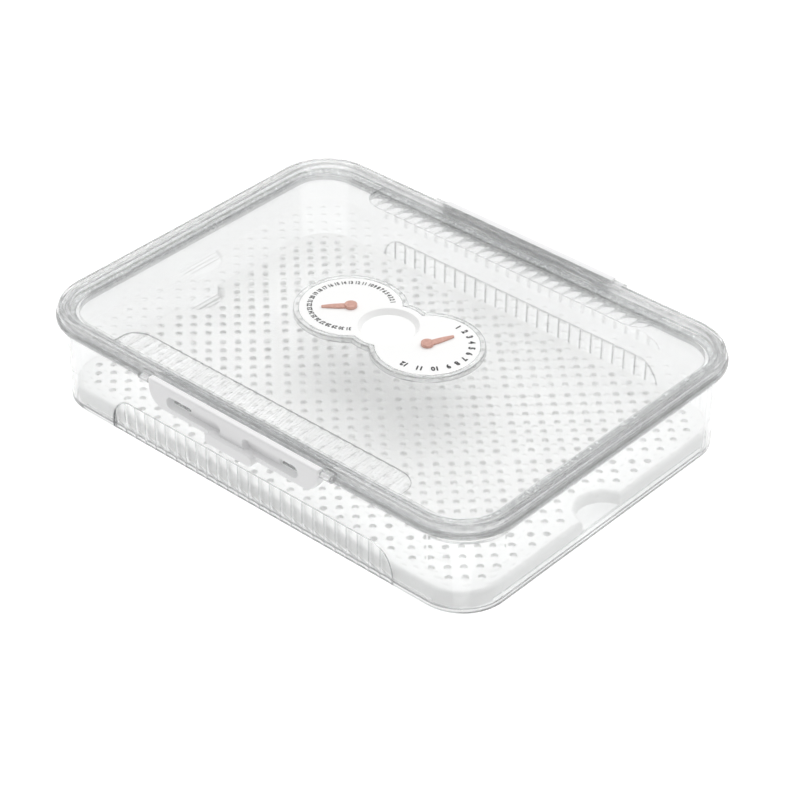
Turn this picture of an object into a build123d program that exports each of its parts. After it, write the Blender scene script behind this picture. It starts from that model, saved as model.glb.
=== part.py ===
from build123d import *
from math import sqrt, atan, degrees
import os

os.makedirs("parts", exist_ok=True)

# ----------------------------------------------------------------------------
# Shallow rectangular fridge keeper: clear box, perforated drain tray, clear lid
# with a raised stacking rim, two hinged snap latches and a two-circle date dial.
# Millimetres, +Z up, origin at the centre of the underside.
# X runs along the long side, Y along the short side, the front latch is on -Y.
# ----------------------------------------------------------------------------

# ---- heights ----------------------------------------------------------------
z_top = 60.5              # top of the stacking rim
z_panel = 56.5            # recessed lid panel, top face
z_flange, z_flange_top = 52.2, 55.7
z_upstand = 54.0          # top edge of the box wall, inside the lid skirt
panel_t = 2.0

# ---- box --------------------------------------------------------------------
wall_t = 2.2
z_step = 1.3                                   # wall stands on this stacking step
z_floor_under, z_floor = 2.0, 3.7
base_hx, base_hy, base_r = 151.2, 110.0, 27.0  # wall outside at z_step
rise = z_upstand - z_step
grow = 1.25                                    # how far the draft opens the wall
draft = degrees(atan(grow / rise))
foot_hx, foot_hy, foot_r, foot_w = 147.4, 108.3, 24.5, 3.0
lip_hx, lip_hy, lip_r = 155.0, 115.2, 31.5
z_cove, z_lip = 46.6, 50.6

# ---- fluted grip panels -----------------------------------------------------
flute_pitch, flute_depth, flute_step = 7.7, 0.75, 0.4
flute_n = 28
flute_hx, flute_h = 101.5, 23.0
flute_R = flute_pitch ** 2 / (8 * flute_depth) + flute_depth / 2

# ---- drain tray -------------------------------------------------------------
tray_hx, tray_hy, tray_r = 146.8, 106.8, 23.0
tray_top, tray_t, tray_skirt = 13.0, 2.0, 1.6
z_skirt = 5.3
hole_d, hole_p, rib_gap = 4.0, 8.23, 10.31     # hole, pitch, spacing over a rib
cell = 6 * hole_p + rib_gap
notch_r, notch_cx = 16.0, 149.5
rib_t, rib_h = 1.4, 4.5

# ---- lid --------------------------------------------------------------------
rim_hx, rim_hy, rim_r = 155.0, 115.3, 32.0
fl_hx, fl_hy, fl_r = 156.5, 116.7, 33.5
rim_in_hx, rim_in_hy, rim_in_r = 148.3, 109.5, 26.0
rim_wall = 1.9
skirt_in_hx, skirt_in_hy, skirt_in_r = 152.9, 112.6, 30.0
plug_hx, plug_hy, plug_r, plug_t, z_plug = 146.4, 105.5, 23.0, 1.9, 50.9
seal_hx, seal_hy, seal_r = 149.8, 108.6, 25.5
z_seal0, z_seal1 = 51.4, 54.5
scoop_hx, scoop_in, scoop_sink = 101.5, 89.8, 0.35

# ---- dial -------------------------------------------------------------------
dial_c, dial_R, hub_R = 27.5, 31.4, 23.5
plate_R, plate_mid = 28.1, 20.3
z_boss, z_plate, z_plate_under = 59.5, 59.2, 57.7
z_pointer = 61.0
dish_R, dish_depth = 16.8, 2.8
pin_r, bore_r = 1.50, 1.55
pocket_floor = 56.9

# ---- latches ----------------------------------------------------------------
latch_hx, ear_in, ear_out = 60.5, 61.2, 68.5
latch_front_y, latch_back_y = 121.0, 115.95
z_latch_top, z_latch_bot = 58.9, 42.9
pivot_y, pivot_z, pivot_r, pivot_bore, ear_r = 118.4, 56.2, 1.05, 1.10, 2.2
lid_cut_y = 115.35
rec_x0, rec_x1, rec_z0, rec_z1, rec_depth = 7.75, 47.0, 46.4, 53.9, 3.0
tab_edge = 0.9
win_x0, win_x1, win_z0, win_z1 = 31.5, 46.6, 47.6, 53.5
lug_x0, lug_x1, lug_z0, lug_z1, lug_y = 33.0, 45.0, 48.1, 50.1, 117.2
tab_hx, tab_y, tab_z0, tab_z1 = 17.0, 123.8, 39.9, 46.9


def rrect(hx, hy, r):
    RectangleRounded(2 * hx, 2 * hy, r)


# ============================================================================
# box body: one clear moulding
# ============================================================================
with BuildPart() as flute_cutter:
    # row of shallow concave flutes on a slightly recessed field
    with BuildSketch(Plane.XY.offset(-1.0)):
        with Locations((0, -(base_hy - flute_step) - 5.0)):
            Rectangle(2 * flute_hx + 4, 10.0)
        with GridLocations(flute_pitch, 1, flute_n, 1):
            with Locations((0, -(base_hy - flute_step - flute_depth) - flute_R)):
                Circle(flute_R)
    extrude(amount=flute_h + 6)
    # trimmed to the long arch outline
    with BuildSketch(Plane.XZ.offset(base_hy - 3.0)):
        with BuildLine():
            Polyline((-flute_hx, -1.5), (-flute_hx, 5.0))
            EllipticalCenterArc((-flute_hx + 14.0, 5.0), 14.0, flute_h - 5.0, start_angle=90, arc_size=90)
            Line((-flute_hx + 14.0, flute_h), (flute_hx - 14.0, flute_h))
            EllipticalCenterArc((flute_hx - 14.0, 5.0), 14.0, flute_h - 5.0, start_angle=0, arc_size=90)
            Polyline((flute_hx, 5.0), (flute_hx, -1.5), (-flute_hx, -1.5))
        make_face()
    extrude(amount=14.0, mode=Mode.INTERSECT)

with BuildPart() as box_body:
    # drafted wall block
    with BuildSketch(Plane.XY.offset(z_step)):
        rrect(base_hx, base_hy, base_r)
    extrude(amount=rise, taper=-draft)
    fillet(box_body.edges().group_by(Axis.Z)[0], 1.2)
    # flare from the wall out to the rim lip
    with BuildSketch(Plane.XY.offset(z_cove)):
        rrect(base_hx + 0.9, base_hy + 0.9, base_r + 0.9)
    with BuildSketch(Plane.XY.offset(z_lip)):
        rrect(lip_hx, lip_hy, lip_r)
    loft()
    with BuildSketch(Plane.XY.offset(z_lip)):
        rrect(lip_hx, lip_hy, lip_r)
    extrude(amount=z_flange - z_lip)
    # foot ring that drops into the rim of the lid below
    with BuildSketch(Plane.XY):
        rrect(foot_hx, foot_hy, foot_r)
    extrude(amount=z_floor)
    fillet(box_body.edges().group_by(Axis.Z)[0], 0.5)
    # inside
    with BuildSketch(Plane.XY.offset(z_floor)):
        rrect(base_hx - wall_t + 0.05, base_hy - wall_t + 0.05, base_r - wall_t)
    extrude(amount=z_upstand - z_floor + 2, taper=-draft, mode=Mode.SUBTRACT)
    # underside recess inside the foot ring
    with BuildSketch(Plane.XY):
        rrect(foot_hx - foot_w, foot_hy - foot_w, foot_r - foot_w)
    extrude(amount=z_floor_under, mode=Mode.SUBTRACT)
    # fluted grips, front and back
    add(flute_cutter.part, mode=Mode.SUBTRACT)
    add(flute_cutter.part.rotate(Axis.Z, 180), mode=Mode.SUBTRACT)
    # two catch lugs per long side under the lip, with a sloping top
    for x0 in (-lug_x1, lug_x0):
        with BuildSketch(Plane.YZ.offset(x0)):
            for sy in (-1, 1):
                with BuildLine():
                    Polyline((sy * 111.0, lug_z0), (sy * lug_y, lug_z0), (sy * lug_y, lug_z0 + 0.9), (sy * (lug_y - 1.6), lug_z1), (sy * 111.0, lug_z1), (sy * 111.0, lug_z0))
                make_face()
        extrude(amount=lug_x1 - lug_x0)
box_body.part.label = "box_body"

# ============================================================================
# drain tray: white perforated plate on a skirt, stiffened underneath
# ============================================================================
hole_pts = []
for i in range(-28, 28):
    for j in range(-28, 28):
        u = (i // 7) * cell + rib_gap / 2 + (i % 7) * hole_p
        v = (j // 7) * cell + rib_gap / 2 + (j % 7) * hole_p
        x, y = (u + v) / sqrt(2), (u - v) / sqrt(2)
        inside = abs(x) <= tray_hx - 6.0 and abs(y) <= tray_hy - 7.5
        dx, dy = abs(x) - (tray_hx - 27.0), abs(y) - (tray_hy - 27.0)
        if dx > 0 and dy > 0 and sqrt(dx * dx + dy * dy) > 20.5:
            inside = False
        if sqrt((abs(x) - notch_cx) ** 2 + y * y) < notch_r + 5.5:
            inside = False
        if inside:
            hole_pts.append((x, y))

with BuildPart() as drain_tray:
    with BuildSketch(Plane.XY.offset(z_skirt)):
        rrect(tray_hx, tray_hy, tray_r)
        with Locations((-notch_cx, 0), (notch_cx, 0)):
            Circle(notch_r, mode=Mode.SUBTRACT)
    extrude(amount=tray_top - z_skirt)
    fillet(drain_tray.edges().group_by(Axis.Z)[-1], 2.0)
    # hollow underneath
    with BuildSketch(Plane.XY.offset(z_skirt)):
        rrect(tray_hx - tray_skirt, tray_hy - tray_skirt, tray_r - tray_skirt)
        with Locations((-notch_cx, 0), (notch_cx, 0)):
            Circle(notch_r + tray_skirt, mode=Mode.SUBTRACT)
    extrude(amount=tray_top - tray_t - z_skirt, mode=Mode.SUBTRACT)
    # drain holes
    with BuildSketch(Plane.XY.offset(tray_top + 0.5)):
        with Locations(hole_pts):
            Circle(hole_d / 2)
    extrude(amount=-(tray_t + 0.5), mode=Mode.SUBTRACT)
    # diagonal stiffening ribs between the hole fields, and cross ribs
    with BuildSketch(Plane.XY.offset(tray_top - tray_t - rib_h)):
        for k in range(-3, 4):
            d = k * cell / sqrt(2)
            with Locations(Location((d, d), 135.0), Location((d, -d), 45.0)):
                Rectangle(460, rib_t)
        with Locations([(x, 0) for x in (-122, -91, -57, -25, 9, 40, 73, 104)]):
            Rectangle(rib_t, 2 * tray_hy)
        RectangleRounded(2 * tray_hx - tray_skirt, 2 * tray_hy - tray_skirt, tray_r - tray_skirt / 2, mode=Mode.INTERSECT)
        with Locations((-notch_cx, 0), (notch_cx, 0)):
            Circle(notch_r + tray_skirt / 2, mode=Mode.SUBTRACT)
    extrude(amount=rib_h)
    # corner feet down to the floor of the box
    with BuildSketch(Plane.XY.offset(z_floor)):
        rrect(tray_hx, tray_hy, tray_r)
        RectangleRounded(2 * (tray_hx - tray_skirt), 2 * (tray_hy - tray_skirt), tray_r - tray_skirt, mode=Mode.SUBTRACT)
        Rectangle(2 * (tray_hx - tray_r + 2), 2 * tray_hy + 2, mode=Mode.SUBTRACT)
        Rectangle(2 * tray_hx + 2, 2 * (tray_hy - tray_r + 2), mode=Mode.SUBTRACT)
    extrude(amount=z_skirt - z_floor + 0.5)
drain_tray.part.label = "drain_tray"

# ============================================================================
# lid
# ============================================================================
with BuildPart() as scoop_cutter:
    # shallow grip field with flutes running towards the middle of the panel
    with BuildSketch(Plane.XZ.offset(scoop_in - 1.0)):
        with Locations((0, z_panel - scoop_sink + 3.0)):
            Rectangle(2 * scoop_hx + 4, 6.0)
        with GridLocations(flute_pitch, 1, flute_n, 1):
            with Locations((0, z_panel - scoop_sink - 0.65 + flute_R)):
                Circle(flute_R)
        with Locations((0, z_panel + 25.5)):
            Rectangle(2 * scoop_hx + 100, 50.0, mode=Mode.SUBTRACT)
    extrude(amount=rim_in_hy - scoop_in - 0.2)
    with BuildSketch(Plane.XY.offset(z_panel - 3.0)):
        with BuildLine():
            Polyline((-scoop_hx, -rim_in_hy), (-scoop_hx, -scoop_in - 10.0))
            EllipticalCenterArc((-scoop_hx + 13.0, -scoop_in - 10.0), 13.0, 10.0, start_angle=90, arc_size=90)
            Line((-scoop_hx + 13.0, -scoop_in), (scoop_hx - 13.0, -scoop_in))
            EllipticalCenterArc((scoop_hx - 13.0, -scoop_in - 10.0), 13.0, 10.0, start_angle=0, arc_size=90)
            Polyline((scoop_hx, -scoop_in - 10.0), (scoop_hx, -rim_in_hy), (-scoop_hx, -rim_in_hy))
        make_face()
    extrude(amount=6.0, mode=Mode.INTERSECT)


with BuildPart() as lid_shell:
    # flange bead and upper rim
    with BuildSketch(Plane.XY.offset(z_flange)):
        rrect(fl_hx, fl_hy, fl_r)
    extrude(amount=z_flange_top - z_flange)
    fillet(lid_shell.edges().group_by(Axis.Z)[0], 0.8)
    fillet(lid_shell.edges().group_by(Axis.Z)[-1], 1.2)
    with BuildSketch(Plane.XY.offset(z_flange + 1)):
        rrect(rim_hx, rim_hy, rim_r)
    extrude(amount=z_top - z_flange - 1)
    fillet(lid_shell.edges().group_by(Axis.Z)[-1], 1.6)
    # recessed panel
    with BuildSketch(Plane.XY.offset(z_panel)):
        rrect(rim_in_hx, rim_in_hy, rim_in_r)
    extrude(amount=z_top - z_panel + 1, mode=Mode.SUBTRACT)
    inner = lid_shell.edges().filter_by(lambda e: abs(e.center().X) < rim_in_hx + 0.1 and abs(e.center().Y) < rim_in_hy + 0.1)
    fillet(inner.filter_by_position(Axis.Z, z_top - 0.01, z_top + 0.01), 1.2)
    fillet(lid_shell.edges().filter_by_position(Axis.Z, z_panel - 0.01, z_panel + 0.01), 1.0)
    # underside opened up to the panel
    with BuildSketch(Plane.XY.offset(z_flange - 1)):
        rrect(skirt_in_hx, skirt_in_hy, skirt_in_r)
    extrude(amount=z_panel - panel_t - z_flange + 1, mode=Mode.SUBTRACT)
    # hollow of the rim above the box wall
    with BuildSketch(Plane.XY.offset(z_panel - panel_t - 0.5)):
        rrect(skirt_in_hx, skirt_in_hy, skirt_in_r)
        RectangleRounded(2 * (rim_in_hx + rim_wall), 2 * (rim_in_hy + rim_wall), rim_in_r + rim_wall, mode=Mode.SUBTRACT)
    extrude(amount=4.5, mode=Mode.SUBTRACT)
    # plug skirt inside the box wall, with a bead that keeps the seal on
    with BuildSketch(Plane.XY.offset(z_plug)):
        rrect(plug_hx, plug_hy, plug_r)
        RectangleRounded(2 * (plug_hx - plug_t), 2 * (plug_hy - plug_t), plug_r - plug_t, mode=Mode.SUBTRACT)
    extrude(amount=z_panel - panel_t - z_plug + 0.1)
    with BuildSketch(Plane.XY.offset(z_plug)):
        rrect(plug_hx + 0.8, plug_hy + 0.8, plug_r + 0.8)
        RectangleRounded(2 * (plug_hx - 0.5), 2 * (plug_hy - 0.5), plug_r - 0.5, mode=Mode.SUBTRACT)
    extrude(amount=z_seal0 - z_plug)
    # hinge ears: round-nosed blocks on the outside of the rim, beside each latch
    for x0 in (-ear_out, ear_in):
        with BuildSketch(Plane.YZ.offset(x0)):
            for sy in (-1, 1):
                with Locations((sy * (pivot_y + 114.5) / 2, pivot_z)):
                    Rectangle(pivot_y - 114.5, 2 * ear_r)
                with Locations((sy * pivot_y, pivot_z)):
                    Circle(ear_r)
        extrude(amount=ear_out - ear_in)
    # the flange bead is cut back to the rim behind each latch
    with BuildSketch(Plane.XY.offset(z_flange - 3)):
        for sy in (-1, 1):
            with Locations((0, sy * (lid_cut_y + 10.0))):
                Rectangle(2 * ear_in, 20.0)
    extrude(amount=14, mode=Mode.SUBTRACT)
    # blind bores for the latch pivots
    with BuildSketch(Plane.YZ.offset(-67.5)):
        with Locations((-pivot_y, pivot_z), (pivot_y, pivot_z)):
            Circle(pivot_bore)
    extrude(amount=67.5 - ear_in + 1, mode=Mode.SUBTRACT)
    with BuildSketch(Plane.YZ.offset(ear_in - 1)):
        with Locations((-pivot_y, pivot_z), (pivot_y, pivot_z)):
            Circle(pivot_bore)
    extrude(amount=67.5 - ear_in + 1, mode=Mode.SUBTRACT)
    # grip fields
    add(scoop_cutter.part, mode=Mode.SUBTRACT)
    add(scoop_cutter.part.rotate(Axis.Z, 180), mode=Mode.SUBTRACT)
    # raised figure-of-eight boss with the pocket for the dial plate
    with BuildSketch(Plane.XY.offset(z_panel - 0.5)):
        with Locations((-dial_c, 0), (dial_c, 0)):
            Circle(dial_R)
        Circle(hub_R)
    extrude(amount=z_boss - z_panel + 0.5)
    fillet(lid_shell.edges().filter_by_position(Axis.Z, z_boss - 0.01, z_boss + 0.01), 0.6)
    with BuildSketch(Plane.XY.offset(z_plate_under)):
        with Locations((-dial_c, 0), (dial_c, 0)):
            Circle(plate_R + 0.3)
        Circle(plate_mid + 0.3)
    extrude(amount=10, mode=Mode.SUBTRACT)
    # well under the thumb dish of the plate
    with BuildSketch(Plane.XY.offset(55.6)):
        Circle(dish_R - 1.0)
    extrude(amount=4, mode=Mode.SUBTRACT)
    # short bosses with blind bores under the pointers
    with BuildSketch(Plane.XY.offset(53.2)):
        with Locations((-dial_c, 0), (dial_c, 0)):
            Circle(3.2)
    extrude(amount=1.6)
    with BuildSketch(Plane.XY.offset(54.4)):
        with Locations((-dial_c, 0), (dial_c, 0)):
            Circle(bore_r)
    extrude(amount=4, mode=Mode.SUBTRACT)
lid_shell.part.label = "lid_shell"

with BuildPart() as lid_seal:
    with BuildSketch(Plane.XY.offset(z_seal0)):
        rrect(seal_hx, seal_hy, seal_r)
        RectangleRounded(2 * plug_hx, 2 * plug_hy, plug_r, mode=Mode.SUBTRACT)
    extrude(amount=z_seal1 - z_seal0)
lid_seal.part.label = "lid_seal"

# ============================================================================
# dial plate and pointers
# ============================================================================
with BuildPart() as dial_plate:
    with BuildSketch(Plane.XY.offset(z_plate_under)):
        with Locations((-dial_c, 0), (dial_c, 0)):
            Circle(plate_R)
        Circle(plate_mid)
    extrude(amount=z_plate - z_plate_under)
    # cup of the thumb dish
    with BuildSketch(Plane.XY.offset(55.6)):
        Circle(dish_R - 1.0)
    extrude(amount=z_plate_under - 55.6 + 0.1)
    with BuildSketch(Plane.XY.offset(z_plate)):
        Circle(dish_R)
    extrude(amount=-dish_depth, taper=40.0, mode=Mode.SUBTRACT)
    # bores the pointer shafts turn in
    with BuildSketch(Plane.XY.offset(z_plate_under - 1)):
        with Locations((-dial_c, 0), (dial_c, 0)):
            Circle(bore_r)
    extrude(amount=6, mode=Mode.SUBTRACT)
dial_plate.part.label = "dial_plate"

with BuildPart() as pointer:
    # tapered needle, modelled pointing along +X at the origin
    with BuildSketch(Plane.XY.offset(z_plate + 0.1)):
        with BuildLine():
            Spline((0.0, 1.7), (6.0, 1.9), (12.0, 1.3), (16.0, 0.6))
            Line((16.0, 0.6), (16.0, -0.6))
            Spline((16.0, -0.6), (12.0, -1.3), (6.0, -1.9), (0.0, -1.7))
            Line((0.0, -1.7), (0.0, 1.7))
        make_face()
    extrude(amount=0.9)
    # hub
    with BuildSketch(Plane.XY.offset(z_plate + 0.1)):
        Circle(3.5)
    extrude(amount=z_pointer - z_plate - 0.1)
    fillet(pointer.edges().group_by(Axis.Z)[-1], 0.3)
    # shaft through the dial plate into the lid
    with BuildSketch(Plane.XY.offset(54.7)):
        Circle(pin_r)
    extrude(amount=z_plate - 54.7 + 0.2)

with BuildPart() as day_pointer:
    add(pointer.part.rotate(Axis.Z, 225).translate((-dial_c, 0, 0)))
day_pointer.part.label = "day_pointer"

with BuildPart() as month_pointer:
    add(pointer.part.rotate(Axis.Z, 69.5).translate((dial_c, 0, 0)))
month_pointer.part.label = "month_pointer"

# ============================================================================
# latches: hinged flaps whose two windows drop over the catch lugs
# ============================================================================
with BuildPart() as latch_front:
    # thick flap, seen from the front
    with BuildSketch(Plane.XZ.offset(latch_back_y)):
        with Locations((0, (z_latch_top + z_latch_bot) / 2)):
            Rectangle(2 * latch_hx, z_latch_top - z_latch_bot)
    extrude(amount=latch_front_y - latch_back_y)
    fillet(latch_front.edges().filter_by(Axis.Y).group_by(Axis.Z)[0], 11.0)
    # upper inner edge rolls about the pivot, upper outer edge is soft
    top_in = latch_front.edges().filter_by(Axis.X).group_by(Axis.Z)[-1].sort_by(Axis.Y)[-1]
    fillet(top_in, 2.2)
    fillet(latch_front.edges().group_by(Axis.Y)[0], 1.1)
    # long shallow recesses in the face, with drafted walls
    with BuildSketch(Plane.XZ.offset(latch_front_y)):
        for sx in (-1, 1):
            with Locations((sx * (rec_x0 + rec_x1) / 2, (rec_z0 + rec_z1) / 2)):
                RectangleRounded(rec_x1 - rec_x0, rec_z1 - rec_z0, 3.6)
    extrude(amount=-rec_depth, taper=18.0, mode=Mode.SUBTRACT)
    # windows right through at their outer ends
    with BuildSketch(Plane.XZ.offset(latch_back_y - 1)):
        for sx in (-1, 1):
            with Locations((sx * (win_x0 + win_x1) / 2, (win_z0 + win_z1) / 2)):
                RectangleRounded(win_x1 - win_x0, win_z1 - win_z0, 2.4)
    extrude(amount=8, mode=Mode.SUBTRACT)
    # finger tab
    with BuildSketch(Plane.XZ.offset(latch_front_y - 3.0)):
        with Locations((0, (tab_z0 + tab_z1) / 2)):
            RectangleRounded(2 * tab_hx, tab_z1 - tab_z0, 3.3)
    extrude(amount=tab_y - latch_front_y + 3.0)
    fillet(latch_front.edges().group_by(Axis.Y)[0], tab_edge)
    # pivots
    with BuildSketch(Plane.YZ.offset(-67.0)):
        with Locations((-pivot_y, pivot_z)):
            Circle(pivot_r)
    extrude(amount=134.0)
latch_front.part.label = "latch_front"

with BuildPart() as latch_rear:
    add(latch_front.part.rotate(Axis.Z, 180))
latch_rear.part.label = "latch_rear"

export_step(box_body.part, "parts/box_body.step")
export_step(drain_tray.part, "parts/drain_tray.step")
export_step(lid_shell.part, "parts/lid_shell.step")
export_step(lid_seal.part, "parts/lid_seal.step")
export_step(dial_plate.part, "parts/dial_plate.step")
export_step(day_pointer.part, "parts/day_pointer.step")
export_step(month_pointer.part, "parts/month_pointer.step")
export_step(latch_front.part, "parts/latch_front.step")
export_step(latch_rear.part, "parts/latch_rear.step")

print(len(hole_pts), "holes")
for piece in (box_body, drain_tray, lid_shell, lid_seal, dial_plate, day_pointer, month_pointer, latch_front, latch_rear):
    b = piece.part.bounding_box()
    print(piece.part.label, len(piece.part.solids()), [round(v, 2) for v in (*b.min, *b.max)], round(piece.part.volume))
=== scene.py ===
import bpy
import math
from mathutils import Vector, Matrix


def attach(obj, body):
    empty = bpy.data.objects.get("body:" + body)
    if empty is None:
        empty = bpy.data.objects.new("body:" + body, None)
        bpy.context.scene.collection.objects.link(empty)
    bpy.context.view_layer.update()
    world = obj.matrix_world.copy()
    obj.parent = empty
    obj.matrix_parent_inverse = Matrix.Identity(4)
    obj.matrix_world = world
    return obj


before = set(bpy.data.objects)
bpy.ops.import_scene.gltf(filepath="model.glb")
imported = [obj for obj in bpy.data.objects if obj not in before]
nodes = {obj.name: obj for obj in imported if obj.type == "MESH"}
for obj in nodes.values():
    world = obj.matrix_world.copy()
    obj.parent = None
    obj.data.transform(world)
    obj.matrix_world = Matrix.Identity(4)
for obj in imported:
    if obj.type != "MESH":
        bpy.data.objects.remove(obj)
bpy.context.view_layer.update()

MM = 0.001

# ---------------------------------------------------------------------------
# material helpers
# ---------------------------------------------------------------------------


def new_mat(name):
    m = bpy.data.materials.new(name)
    m.use_nodes = True
    t = m.node_tree
    for n in list(t.nodes):
        t.nodes.remove(n)
    out = t.nodes.new("ShaderNodeOutputMaterial")
    p = t.nodes.new("ShaderNodeBsdfPrincipled")
    t.links.new(p.outputs[0], out.inputs[0])
    return m, t, p, out


def coords(t):
    return t.nodes.new("ShaderNodeTexCoord").outputs["Object"]


def noise(t, vec, scale, detail=3.0, rough=0.5):
    n = t.nodes.new("ShaderNodeTexNoise")
    n.inputs["Scale"].default_value = scale
    n.inputs["Detail"].default_value = detail
    n.inputs["Roughness"].default_value = rough
    t.links.new(vec, n.inputs["Vector"])
    return n.outputs["Fac"]


def ramp(t, fac, stops):
    r = t.nodes.new("ShaderNodeValToRGB")
    e = r.color_ramp.elements
    e[0].position, e[0].color = stops[0][0], (*stops[0][1], 1)
    e[1].position, e[1].color = stops[-1][0], (*stops[-1][1], 1)
    for pos, col in stops[1:-1]:
        el = e.new(pos)
        el.color = (*col, 1)
    t.links.new(fac, r.inputs["Fac"])
    return r.outputs["Color"]


def to_range(t, fac, a, b):
    r = t.nodes.new("ShaderNodeMapRange")
    r.inputs["To Min"].default_value = a
    r.inputs["To Max"].default_value = b
    t.links.new(fac, r.inputs["Value"])
    return r.outputs["Result"]


def bump(t, p, height, strength, distance):
    b = t.nodes.new("ShaderNodeBump")
    b.inputs["Strength"].default_value = strength
    b.inputs["Distance"].default_value = distance
    t.links.new(height, b.inputs["Height"])
    t.links.new(b.outputs["Normal"], p.inputs["Normal"])
    return b


def clear_plastic(name, tint, ior, rough, wave, straight=0.08, edge_shade_width=0.001):
    m, t, p, out = new_mat(name)
    c = coords(t)
    p.inputs["Transmission Weight"].default_value = 1.0
    p.inputs["IOR"].default_value = ior
    slow = noise(t, c, 9.0, 2.0)
    fine = noise(t, c, 160.0, 4.0)
    # painted shade: sharp edges get a dark tint in place of the refraction shade seen there; bevelled normal against
    # face normal
    bev = t.nodes.new("ShaderNodeBevel")
    bev.samples = 2
    bev.inputs["Radius"].default_value = edge_shade_width
    geo = t.nodes.new("ShaderNodeNewGeometry")
    dot = t.nodes.new("ShaderNodeVectorMath")
    dot.operation = "DOT_PRODUCT"
    t.links.new(bev.outputs["Normal"], dot.inputs[0])
    t.links.new(geo.outputs["Normal"], dot.inputs[1])
    edge_shade_mask = t.nodes.new("ShaderNodeMapRange")
    edge_shade_mask.inputs["From Min"].default_value = 0.99
    edge_shade_mask.inputs["From Max"].default_value = 0.95
    t.links.new(dot.outputs["Value"], edge_shade_mask.inputs["Value"])
    edge_shade_tint = t.nodes.new("ShaderNodeMixRGB")
    edge_shade_tint.inputs[2].default_value = (0.04, 0.043, 0.046, 1)
    t.links.new(edge_shade_mask.outputs["Result"], edge_shade_tint.inputs[0])
    t.links.new(ramp(t, slow, [(0.3, tuple(0.985 * v for v in tint)), (0.7, tint)]), edge_shade_tint.inputs[1])
    t.links.new(edge_shade_tint.outputs[0], p.inputs["Base Color"])
    t.links.new(to_range(t, fine, rough * 0.5, rough * 1.6), p.inputs["Roughness"])
    bump(t, p, slow, 0.25, wave)
    # lamps shine through the thin clear walls
    path = t.nodes.new("ShaderNodeLightPath")
    see = t.nodes.new("ShaderNodeBsdfTransparent")
    see.inputs["Color"].default_value = (0.985, 0.988, 0.988, 1)
    mix = t.nodes.new("ShaderNodeMixShader")
    t.links.new(path.outputs["Is Shadow Ray"], mix.inputs[0])
    half = t.nodes.new("ShaderNodeMixShader")
    half.inputs[0].default_value = straight
    thru = t.nodes.new("ShaderNodeBsdfTransparent")
    # painted shade: the straight-through transparent part also darkens at the edges
    edge_shade_thru_tint = t.nodes.new("ShaderNodeMixRGB")
    edge_shade_thru_tint.inputs[1].default_value = (0.995, 0.997, 0.997, 1)
    edge_shade_thru_tint.inputs[2].default_value = (0.25, 0.26, 0.27, 1)
    t.links.new(edge_shade_mask.outputs["Result"], edge_shade_thru_tint.inputs[0])
    t.links.new(edge_shade_thru_tint.outputs[0], thru.inputs["Color"])
    t.links.new(p.outputs[0], half.inputs[1])
    t.links.new(thru.outputs[0], half.inputs[2])
    t.links.new(half.outputs[0], mix.inputs[1])
    t.links.new(see.outputs[0], mix.inputs[2])
    t.links.new(mix.outputs[0], out.inputs[0])
    return m


def white_plastic(name, light, dark, rough, grain, grain_h, glow=0.0):
    m, t, p, out = new_mat(name)
    c = coords(t)
    slow = noise(t, c, 14.0, 3.0)
    fine = noise(t, c, grain, 5.0, 0.6)
    t.links.new(ramp(t, slow, [(0.3, dark), (0.7, light)]), p.inputs["Base Color"])
    t.links.new(to_range(t, fine, rough * 0.8, rough * 1.25), p.inputs["Roughness"])
    p.inputs["IOR"].default_value = 1.49
    if glow:
        # thin white plastic lets part of the lamp light through
        path = t.nodes.new("ShaderNodeLightPath")
        see = t.nodes.new("ShaderNodeBsdfTransparent")
        see.inputs["Color"].default_value = (glow, glow, glow, 1)
        mix = t.nodes.new("ShaderNodeMixShader")
        t.links.new(path.outputs["Is Shadow Ray"], mix.inputs[0])
        t.links.new(p.outputs[0], mix.inputs[1])
        t.links.new(see.outputs[0], mix.inputs[2])
        t.links.new(mix.outputs[0], out.inputs[0])
    bump(t, p, fine, 0.35, grain_h)
    return m


# last argument: width of the painted dark edge shade lines
clear_box = clear_plastic("clear_box_plastic", (0.992, 0.997, 0.997), 1.50, 0.004, 0.00008, 0.12, 0.0013)
clear_lid = clear_plastic("clear_lid_plastic", (0.994, 0.998, 0.998), 1.50, 0.004, 0.00006, 0.32, 0.00055)
tray_white = white_plastic("tray_white_plastic", (0.91, 0.91, 0.905), (0.89, 0.89, 0.887), 0.38, 900.0, 0.00003)
latch_white = white_plastic("latch_white_plastic", (0.85, 0.85, 0.855), (0.83, 0.83, 0.835), 0.33, 1100.0, 0.00003)
dial_white = white_plastic("dial_white_plastic", (0.95, 0.95, 0.945), (0.935, 0.935, 0.93), 0.30, 1300.0, 0.00002, 0.6)

m, t, p, out = new_mat("clear_silicone")
c = coords(t)
p.inputs["Transmission Weight"].default_value = 0.85
p.inputs["IOR"].default_value = 1.41
t.links.new(ramp(t, noise(t, c, 30.0), [(0.3, (0.93, 0.94, 0.94)), (0.7, (0.97, 0.975, 0.975))]), p.inputs["Base Color"])
t.links.new(to_range(t, noise(t, c, 500.0, 4.0), 0.18, 0.34), p.inputs["Roughness"])
silicone = m

m, t, p, out = new_mat("copper_film")
c = coords(t)
p.inputs["Metallic"].default_value = 0.55
grain = noise(t, c, 700.0, 5.0)
t.links.new(ramp(t, grain, [(0.25, (0.58, 0.31, 0.25)), (0.75, (0.76, 0.46, 0.385))]), p.inputs["Base Color"])
t.links.new(to_range(t, grain, 0.24, 0.42), p.inputs["Roughness"])
bump(t, p, grain, 0.3, 0.00002)
p.inputs["Coat Weight"].default_value = 0.5
p.inputs["Coat Roughness"].default_value = 0.08
copper = m

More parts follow.
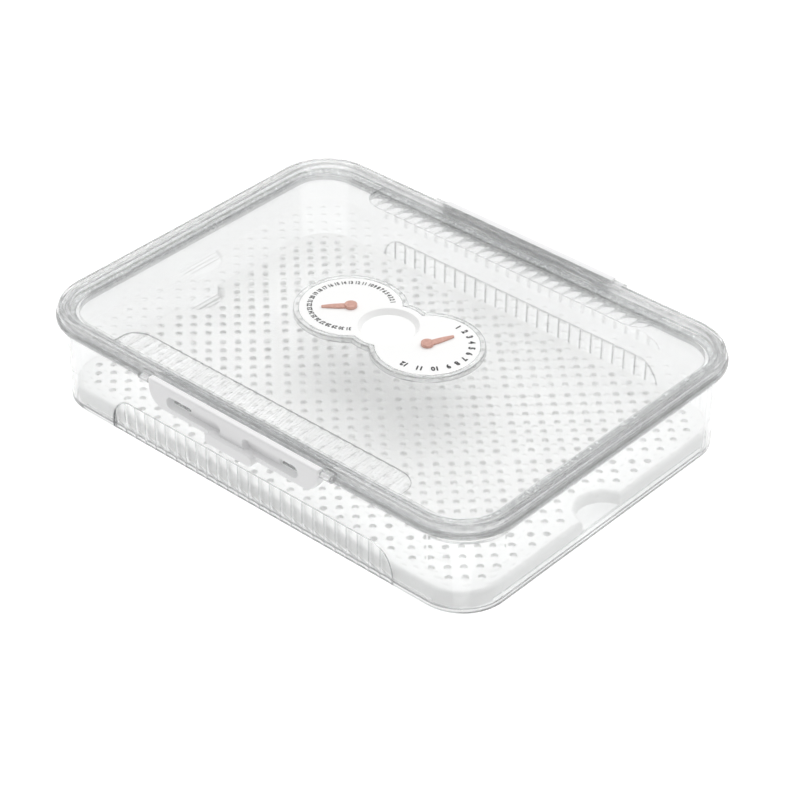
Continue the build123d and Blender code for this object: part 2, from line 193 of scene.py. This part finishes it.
m, t, p, out = new_mat("black_print")
c = coords(t)
t.links.new(ramp(t, noise(t, c, 1500.0, 3.0), [(0.3, (0.006, 0.006, 0.007)), (0.7, (0.016, 0.016, 0.018))]), p.inputs["Base Color"])
t.links.new(to_range(t, noise(t, c, 900.0), 0.35, 0.55), p.inputs["Roughness"])
ink = m

m, t, p, out = new_mat("studio_floor")
c = coords(t)
t.links.new(ramp(t, noise(t, c, 2.0), [(0.3, (0.32, 0.32, 0.32)), (0.7, (0.325, 0.325, 0.325))]), p.inputs["Base Color"])
p.inputs["Roughness"].default_value = 0.9
p.inputs["Specular IOR Level"].default_value = 0.1
p.inputs["Emission Color"].default_value = (1, 1, 1, 1)
p.inputs["Emission Strength"].default_value = 0.85
floor_mat = m


def paint(o, mat):
    o.data.materials.clear()
    o.data.materials.append(mat)


paint(nodes["box_body"], clear_box)
paint(nodes["lid_shell"], clear_lid)
paint(nodes["lid_seal"], silicone)
paint(nodes["drain_tray"], tray_white)
paint(nodes["dial_plate"], dial_white)
paint(nodes["day_pointer"], copper)
paint(nodes["month_pointer"], copper)
paint(nodes["latch_front"], latch_white)
paint(nodes["latch_rear"], latch_white)

# ---------------------------------------------------------------------------
# printed numbers: raised a hair above the dial plate
# ---------------------------------------------------------------------------
PLATE_Z = 59.2 * MM


def number_ring(name, cx, cy, items, radius, size, squeeze=0.86, heavy=0.034):
    """items: (text, angle in degrees), tops of the digits point outwards."""
    verts, faces = [], []
    for text, ang in items:
        cu = bpy.data.curves.new("glyph", "FONT")
        cu.body = text
        cu.size = size
        cu.align_x = "CENTER"
        cu.align_y = "CENTER"
        cu.extrude = 0.00004
        cu.space_character = 1.05
        cu.resolution_u = 4
        cu.offset = size * heavy
        ob = bpy.data.objects.new("glyph", cu)
        bpy.context.scene.collection.objects.link(ob)
        bpy.context.view_layer.update()
        me = bpy.data.meshes.new_from_object(ob.evaluated_get(bpy.context.evaluated_depsgraph_get()))
        a = math.radians(ang)
        place = (
            Matrix.Translation((cx + radius * math.cos(a), cy + radius * math.sin(a), PLATE_Z + 0.00005))
            @ Matrix.Rotation(a - math.pi / 2, 4, "Z")
            @ Matrix.Diagonal((squeeze, 1, 1, 1))
        )
        base = len(verts)
        verts += [tuple(place @ v.co) for v in me.vertices]
        faces += [tuple(base + i for i in f.vertices) for f in me.polygons]
        bpy.data.meshes.remove(me)
        bpy.data.objects.remove(ob)
        bpy.data.curves.remove(cu)
    me = bpy.data.meshes.new(name)
    me.from_pydata(verts, [], faces)
    me.update()
    ob = bpy.data.objects.new(name, me)
    bpy.context.scene.collection.objects.link(ob)
    me.materials.append(ink)
    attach(ob, "lid")
    return ob


days = []
ang = 50.4
for d in range(1, 32):
    if d > 1:
        ang += 5.9 if d < 10 else (6.9 if d == 10 else 9.71)
    days.append((str(d), ang))
number_ring("day_numbers", -28.0 * MM, 1.0 * MM, days, 22.7 * MM, 3.8 * MM, 0.76)
month_angles = (88.0, 74.2, 60.2, 46.5, 32.8, 19.1, 5.0, -8.7, -22.6, -41.0, -62.0, -84.0)
months = [(str(k + 1), a) for k, a in enumerate(month_angles)]
number_ring("month_numbers", 27.9 * MM, 1.0 * MM, months, 22.7 * MM, 4.8 * MM, 0.86, 0.05)

# ---------------------------------------------------------------------------
# stage: pale floor, soft light
# ---------------------------------------------------------------------------
bpy.ops.mesh.primitive_plane_add(size=8, location=(0, 0, -0.0002))
floor = bpy.context.object
floor.name = "floor"
paint(floor, floor_mat)


def area(name, loc, target, size, size_y, power, color=(1, 1, 1)):
    li = bpy.data.lights.new(name, "AREA")
    li.shape = "RECTANGLE"
    li.size, li.size_y = size, size_y
    li.energy = power
    li.color = color
    ob = bpy.data.objects.new(name, li)
    bpy.context.scene.collection.objects.link(ob)
    ob.location = loc
    ob.rotation_euler = (Vector(target) - Vector(loc)).to_track_quat("-Z", "Y").to_euler()
    return ob


area("key_top", (-0.2, 0.35, 1.7), (0, 0, 0), 2.4, 2.4, 18)
area("rim_back", (0.2, 1.6, 0.8), (0, 0, 0.03), 1.6, 0.7, 4)

w = bpy.data.worlds.new("studio")
bpy.context.scene.world = w
w.use_nodes = True
bg = w.node_tree.nodes["Background"]
wt = w.node_tree
sky = wt.nodes.new("ShaderNodeTexCoord")
split = wt.nodes.new("ShaderNodeSeparateXYZ")
wt.links.new(sky.outputs["Generated"], split.inputs[0])
# a dark low strip on the front right draws the edges of the clear parts, the far side stays pale
height = to_range(wt, split.outputs["Z"], 0.0, 1.0)
side = wt.nodes.new("ShaderNodeVectorMath")
side.operation = "DOT_PRODUCT"
side.inputs[1].default_value = (0.66, -0.75, 0.0)
wt.links.new(sky.outputs["Generated"], side.inputs[0])
near = wt.nodes.new("ShaderNodeMapRange")
near.inputs["From Min"].default_value = -0.25
near.inputs["From Max"].default_value = 0.45
wt.links.new(side.outputs["Value"], near.inputs["Value"])
both = wt.nodes.new("ShaderNodeMixRGB")
wt.links.new(near.outputs["Result"], both.inputs[0])
wt.links.new(ramp(wt, height, [(0.0, (0.62, 0.62, 0.625)), (0.18, (0.54, 0.54, 0.54)), (0.55, (0.84, 0.84, 0.84)), (1.0, (1.0, 1.0, 1.0))]), both.inputs[1])
wt.links.new(ramp(wt, height, [(0.0, (0.07, 0.07, 0.075)), (0.20, (0.17, 0.17, 0.17)), (0.42, (0.64, 0.64, 0.64)), (1.0, (1.0, 1.0, 1.0))]), both.inputs[2])
wt.links.new(both.outputs[0], bg.inputs["Color"])
bg.inputs["Strength"].default_value = 0.80
bpy.context.scene.view_settings.view_transform = "Standard"

# ---------------------------------------------------------------------------
# camera fitted to the photograph
# ---------------------------------------------------------------------------
cam = bpy.data.cameras.new("camera")
cam_o = bpy.data.objects.new("camera", cam)
bpy.context.scene.collection.objects.link(cam_o)
bpy.context.scene.camera = cam_o
cam.sensor_width = 36.0
cam.lens = 122.73
cam.shift_x = 0.0146
cam.shift_y = -0.0377
cam.clip_start = 0.05
cam.clip_end = 30
eye = Vector((0.8070, -0.9111, 0.8717))
target = Vector((0, 0, 0.03026))
fwd = (target - eye).normalized()
right = fwd.cross(Vector((0, 0, 1))).normalized()
up = right.cross(fwd)
roll = math.radians(0.49)
r2 = right * math.cos(roll) + up * math.sin(roll)
u2 = up * math.cos(roll) - right * math.sin(roll)
rot = Matrix((r2, u2, -fwd)).transposed()
cam_o.matrix_world = Matrix.Translation(eye) @ rot.to_4x4()
